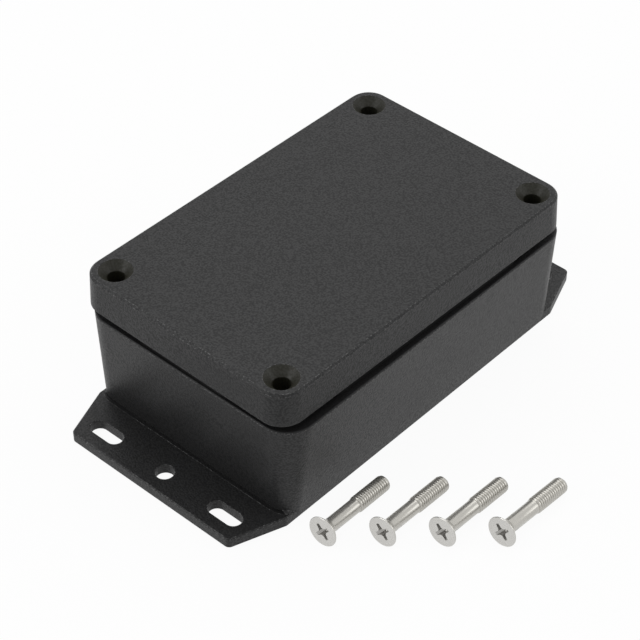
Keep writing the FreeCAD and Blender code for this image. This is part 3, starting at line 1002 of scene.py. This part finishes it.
def row_of_screws(group_name):
    """Lays copies of an upright screw in a row, each on its head's edge and its tip"""
    tree, given, result = new_group(
        group_name,
        [
            ("Geometry", "NodeSocketGeometry", None),
            ("Count", "NodeSocketInt", 4),
            ("First", "NodeSocketVector", None),
            ("Step", "NodeSocketVector", None),
            ("Roll", "NodeSocketFloat", 0.0),
            ("Lean", "NodeSocketFloat", 0.0),
            ("Turn", "NodeSocketFloat", 0.0),
            ("Turn step", "NodeSocketFloat", 0.0),
            ("Material", "NodeSocketMaterial", None),
        ],
        [("Geometry", "NodeSocketGeometry")],
        "GeometryNodeTree",
    )
    tree.is_modifier = True
    roll = add_node(tree, "ShaderNodeCombineXYZ", {"Z": given.outputs["Roll"]})
    inputs = {"Geometry": given.outputs["Geometry"], "Rotation": roll.outputs[0]}
    upright = add_node(tree, "GeometryNodeTransform", inputs)
    inputs = {
        "Count": given.outputs["Count"],
        "Start Location": given.outputs["First"],
        "Offset": given.outputs["Step"],
    }
    line = add_node(tree, "GeometryNodeMeshLine", inputs, mode="OFFSET")
    index = add_node(tree, "GeometryNodeInputIndex").outputs[0]
    turned = calculate(
        tree, "MULTIPLY_ADD", index, given.outputs["Turn step"], given.outputs["Turn"]
    )
    inputs = {"X": given.outputs["Lean"], "Z": turned}
    angles = add_node(tree, "ShaderNodeCombineXYZ", inputs)
    inputs = {"Euler": angles.outputs[0]}
    rotation = add_node(tree, "FunctionNodeEulerToRotation", inputs)
    inputs = {
        "Points": line.outputs[0],
        "Instance": upright.outputs[0],
        "Rotation": rotation.outputs[0],
    }
    copies = add_node(tree, "GeometryNodeInstanceOnPoints", inputs)
    real = add_node(tree, "GeometryNodeRealizeInstances", {"Geometry": copies.outputs[0]})
    inputs = {"Geometry": real.outputs[0], "Material": given.outputs["Material"]}
    painted = add_node(tree, "GeometryNodeSetMaterial", inputs)
    tree.links.new(painted.outputs[0], result.inputs["Geometry"])
    return tree


def four_corners(group_name):
    """Sets a copy of a piece at each corner of a rectangle"""
    tree, given, result = new_group(
        group_name,
        [
            ("Geometry", "NodeSocketGeometry", None),
            ("Across", "NodeSocketFloat", 0.05),
            ("Along", "NodeSocketFloat", 0.08),
            ("Height", "NodeSocketFloat", 0.0),
            ("Material", "NodeSocketMaterial", None),
        ],
        [("Geometry", "NodeSocketGeometry")],
        "GeometryNodeTree",
    )
    tree.is_modifier = True
    inputs = {
        "Size X": given.outputs["Across"],
        "Size Y": given.outputs["Along"],
        "Vertices X": 2,
        "Vertices Y": 2,
    }
    grid = add_node(tree, "GeometryNodeMeshGrid", inputs)
    raised = add_node(tree, "ShaderNodeCombineXYZ", {"Z": given.outputs["Height"]})
    inputs = {"Geometry": grid.outputs[0], "Translation": raised.outputs[0]}
    corners = add_node(tree, "GeometryNodeTransform", inputs)
    inputs = {"Points": corners.outputs[0], "Instance": given.outputs["Geometry"]}
    copies = add_node(tree, "GeometryNodeInstanceOnPoints", inputs)
    real = add_node(tree, "GeometryNodeRealizeInstances", {"Geometry": copies.outputs[0]})
    inputs = {"Geometry": real.outputs[0], "Material": given.outputs["Material"]}
    painted = add_node(tree, "GeometryNodeSetMaterial", inputs)
    tree.links.new(painted.outputs[0], result.inputs["Geometry"])
    return tree


def axis_spacing(sizes):
    """Distances between the inserts' axes, across and along the box"""
    across = insert_high.x - insert_low.x - sizes.outside
    along = insert_high.y - insert_low.y - sizes.outside
    return across, along


# One upright insert, its top at the origin.
def insert_shell(sizes, length):
    segments = sizes.knurls * 2
    outer = sizes.outside / 2.0
    waist = sizes.waist / 2.0
    crest = sizes.bore / 2.0
    root = crest + 0.5 * sizes.pitch
    band = length * 0.3
    mouth = 0.35 * MM
    tooth = 0.14 * MM
    bm = bmesh.new()
    profile = [
        (root, 0.0),
        (outer - tooth, 0.0),
        (outer, -tooth),
        (outer, tooth - band),
        (outer - tooth, -band),
        (waist, -band),
        (waist, band - length),
        (outer - tooth, band - length),
        (outer, band - length - tooth),
        (outer, tooth - length),
        (outer - tooth, -length),
        (root, -length),
    ]
    lathe(bm, profile, segments)
    for vertex in bm.verts:
        reach = math.hypot(vertex.co.x, vertex.co.y)
        angle = math.atan2(vertex.co.y, vertex.co.x)
        column = round(angle / (2.0 * math.pi) * segments)
        if reach > outer - tooth * 0.5 and column % 2:
            vertex.co.x *= (outer - tooth) / reach
            vertex.co.y *= (outer - tooth) / reach

    def radius_at(step, height):
        full = crest if step < 2 else root
        depth = min(-height, height + length)
        return max(full, root - max(0.0, depth) * (root - crest) / mouth)

    phases = (0.0, 0.125, 0.4375, 0.6875)
    helix_wall(bm, 0.0, -length, sizes.pitch, phases, radius_at, segments)
    close_shell(bm)
    return finished_mesh(bm, "insert_shell")


class DressShells(bpy.types.Operator):
    """Gives the base and the lid their moulded plastic"""

    bl_idname = "project_box.dress_shells"
    bl_label = "Base and lid"

    def execute(self, context):
        finish = context.scene.box_shells
        across, along = axis_spacing(context.scene.box_inserts)
        corner = (across / 2.0, along / 2.0, 0.0)
        # The lid gets no painted shade at a seam mouth and has no flange, so their heights are out
        # of its reach.
        far = 1.0
        uses = {
            "base": {"sink": 0.0, "top": base_top - finish.seam, "root": finish.root_height},
            "lid": {"sink": finish.sink, "top": far, "root": -far},
        }
        for name, use in uses.items():
            material = moulded_plastic(name + "_plastic", finish, corner, **use)
            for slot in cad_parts[name].material_slots:
                slot.material = material
        return {"FINISHED"}


class DressSeal(bpy.types.Operator):
    """Gives the lid gasket its rubber"""

    bl_idname = "project_box.dress_seal"
    bl_label = "Lid gasket"

    def execute(self, context):
        material = soft_rubber(context.scene.box_seal)
        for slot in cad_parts["lid_gasket"].material_slots:
            slot.material = material
        return {"FINISHED"}


class LayScrews(bpy.types.Operator):
    """Builds the lid screws, threaded and with cross recesses, lying beside the box"""

    bl_idname = "project_box.lay_screws"
    bl_label = "Lid screws"

    def execute(self, context):
        sizes = context.scene.box_screws
        screw = new_object("laid_screws", screw_shell(sizes))
        cutter = new_object("recess_cutter", recess_cutter(sizes))
        cut = screw.modifiers.new("recess", "BOOLEAN")
        cut.operation = "DIFFERENCE"
        cut.solver = "EXACT"
        cut.object = cutter
        settled(screw)
        bpy.data.objects.remove(cutter)
        screw.data.set_sharp_from_angle(angle=math.radians(32.0))
        mark_places(screw.data, "screw_place")

        head = sizes.head / 2.0
        rise = head - sizes.thread / 2.0
        reach = sizes.length - sizes.tip_chamfer - sizes.head_rim
        lean = math.atan2(rise, reach)
        lift = head * math.cos(lean) + sizes.head_rim * math.sin(lean)
        first = Vector(sizes.first)
        first.z = lift
        colours = (tuple(sizes.colour), tuple(sizes.lit_face_colour), tuple(sizes.recess_shade_colour))
        cone = head - sizes.head_rim
        metal = bright_metal(
            "plated_steel", colours, sizes.metallic, sizes.roughness, "screw_place", cone
        )
        row = screw.modifiers.new("row", "NODES")
        row.node_group = row_of_screws("row_of_screws")
        inputs = {
            "Count": sizes.count,
            "First": first[:],
            "Step": tuple(sizes.step),
            "Roll": math.radians(45.0),
            "Lean": math.pi / 2.0 - lean,
            "Turn": sizes.turn,
            "Turn step": sizes.turn_step,
            "Material": metal,
        }
        give_inputs(row, inputs)
        settled(screw)
        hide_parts("lid_screws")
        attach(screw, BODY)
        return {"FINISHED"}


class SetInserts(bpy.types.Operator):
    """Builds the knurled brass inserts in the corner bosses"""

    bl_idname = "project_box.set_inserts"
    bl_label = "Threaded inserts"

    def execute(self, context):
        sizes = context.scene.box_inserts
        length = insert_high.z - insert_low.z
        insert = new_object("knurled_inserts", insert_shell(sizes, length))
        mark_places(insert.data, "insert_place")
        colours = (tuple(sizes.colour),) * 3
        metal = bright_metal("turned_brass", colours, 1.0, sizes.roughness, "insert_place", 0.0)
        corners = insert.modifiers.new("corners", "NODES")
        corners.node_group = four_corners("four_corners")
        across, along = axis_spacing(sizes)
        inputs = {
            "Across": across,
            "Along": along,
            "Height": insert_high.z,
            "Material": metal,
        }
        give_inputs(corners, inputs)
        settled(insert)
        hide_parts("threaded_inserts")
        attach(insert, BODY)
        return {"FINISHED"}


# Floor and surround: white to the eye and in reflections, plain to the other light.
MATT_WHITE = (0.9, 0.9, 0.9, 1.0)
FLOOR_DROP = 0.05 * MM
SENSOR_WIDTH = 36.0

# Lamps: the setting of each one's power, its place, and the side of its square.
LAMPS = {
    "key_lamp": ("key", (-0.3, 0.35, 1.0), 0.9),
    "left_lamp": ("front", (-0.55, -0.75, 0.6), 0.5),
    "right_lamp": ("side", (0.75, 0.6, 0.55), 0.5),
}


def seen_directly(tree):
    """Is 1 for rays of the camera, of reflections and through glass, and 0 for the others"""
    path = add_node(tree, "ShaderNodeLightPath")
    seen = calculate(
        tree, "MAXIMUM", path.outputs["Is Camera Ray"], path.outputs["Is Glossy Ray"]
    )
    return calculate(tree, "MAXIMUM", seen, path.outputs["Is Transmission Ray"])


def white_floor(settings):
    material = bpy.data.materials.new("white_floor")
    material.use_nodes = True
    tree = material.node_tree
    tree.nodes.clear()
    output = tree.nodes.new("ShaderNodeOutputMaterial")
    colour = (*settings.floor_colour, 1.0)
    matt = add_node(tree, "ShaderNodeBsdfDiffuse", {"Color": MATT_WHITE})
    white = add_node(tree, "ShaderNodeEmission", {"Color": colour, "Strength": 1.0})
    share = calculate(tree, "MULTIPLY", seen_directly(tree), 1.0 - settings.shadow)
    both = add_node(tree, "ShaderNodeMixShader", {"Fac": share})
    tree.links.new(matt.outputs[0], both.inputs[1])
    tree.links.new(white.outputs[0], both.inputs[2])
    tree.links.new(both.outputs[0], output.inputs["Surface"])
    return material


def white_surround(settings):
    world = bpy.data.worlds.new("white_surround")
    world.use_nodes = True
    tree = world.node_tree
    tree.nodes.clear()
    output = tree.nodes.new("ShaderNodeOutputWorld")
    colour = (*settings.floor_colour, 1.0)
    level = spread(tree, seen_directly(tree), settings.ambient, 1.0)
    light = add_node(tree, "ShaderNodeBackground", {"Color": colour, "Strength": level})
    tree.links.new(light.outputs[0], output.inputs["Surface"])
    bpy.context.scene.world = world


def add_lamp(name, power, place, target, side):
    lamp = bpy.data.lights.new(name, "AREA")
    lamp.shape = "SQUARE"
    lamp.size = side
    lamp.energy = power
    holder = bpy.data.objects.new(name, lamp)
    holder.location = place
    holder.rotation_euler = (Vector(target) - Vector(place)).to_track_quat("-Z", "Y").to_euler()
    bpy.context.scene.collection.objects.link(holder)


class BuildStage(bpy.types.Operator):
    """Adds the white floor, the surround, the lamps and the camera"""

    bl_idname = "project_box.build_stage"
    bl_label = "Stage"

    def execute(self, context):
        settings = context.scene.box_stage
        bm = bmesh.new()
        half = settings.floor_size / 2.0
        bmesh.ops.create_grid(bm, x_segments=2, y_segments=2, size=half)
        bmesh.ops.translate(bm, verts=bm.verts, vec=(0.0, 0.0, -FLOOR_DROP))
        mesh = bpy.data.meshes.new("floor")
        bm.to_mesh(mesh)
        bm.free()
        mesh.materials.append(white_floor(settings))
        new_object("floor", mesh)
        white_surround(settings)

        target = Vector(settings.look_at)
        for name, (setting, place, side) in LAMPS.items():
            add_lamp(name, getattr(settings, setting), place, target, side)

        level = math.cos(settings.elevation)
        back = Vector(
            (
                math.sin(settings.azimuth) * level,
                -math.cos(settings.azimuth) * level,
                math.sin(settings.elevation),
            )
        )
        camera = bpy.data.cameras.new("camera")
        camera.lens = settings.lens
        camera.sensor_width = SENSOR_WIDTH
        camera.clip_start = 0.01
        holder = bpy.data.objects.new("camera", camera)
        holder.location = target + back * settings.distance
        holder.rotation_euler = (-back).to_track_quat("-Z", "Y").to_euler()
        context.scene.collection.objects.link(holder)
        context.scene.camera = holder
        context.scene.view_settings.view_transform = "Standard"
        return {"FINISHED"}


class ProjectBoxPanel(bpy.types.Panel):
    """Lists the pieces of the project box"""

    bl_idname = "VIEW3D_PT_project_box"
    bl_label = "Project box"
    bl_space_type = "VIEW_3D"
    bl_region_type = "UI"
    bl_category = "Project box"

    def draw(self, context):
        for operator in OPERATORS:
            self.layout.operator(operator.bl_idname)


OPERATORS = (DressShells, DressSeal, LayScrews, SetInserts, BuildStage)
SETTINGS = {
    "box_shells": ShellFinish,
    "box_seal": SealFinish,
    "box_screws": ScrewSizes,
    "box_inserts": InsertSizes,
    "box_stage": StageSettings,
}


def register():
    for name, group in SETTINGS.items():
        bpy.utils.register_class(group)
        setattr(bpy.types.Scene, name, PointerProperty(type=group))
    for operator in OPERATORS:
        bpy.utils.register_class(operator)
    bpy.utils.register_class(ProjectBoxPanel)


def unregister():
    bpy.utils.unregister_class(ProjectBoxPanel)
    for operator in reversed(OPERATORS):
        bpy.utils.unregister_class(operator)
    for name, group in SETTINGS.items():
        delattr(bpy.types.Scene, name)
        bpy.utils.unregister_class(group)


def main():
    register()
    bpy.ops.project_box.dress_shells()
    bpy.ops.project_box.dress_seal()
    bpy.ops.project_box.lay_screws()
    bpy.ops.project_box.set_inserts()
    bpy.ops.project_box.build_stage()


if __name__ == "__main__":
    main()
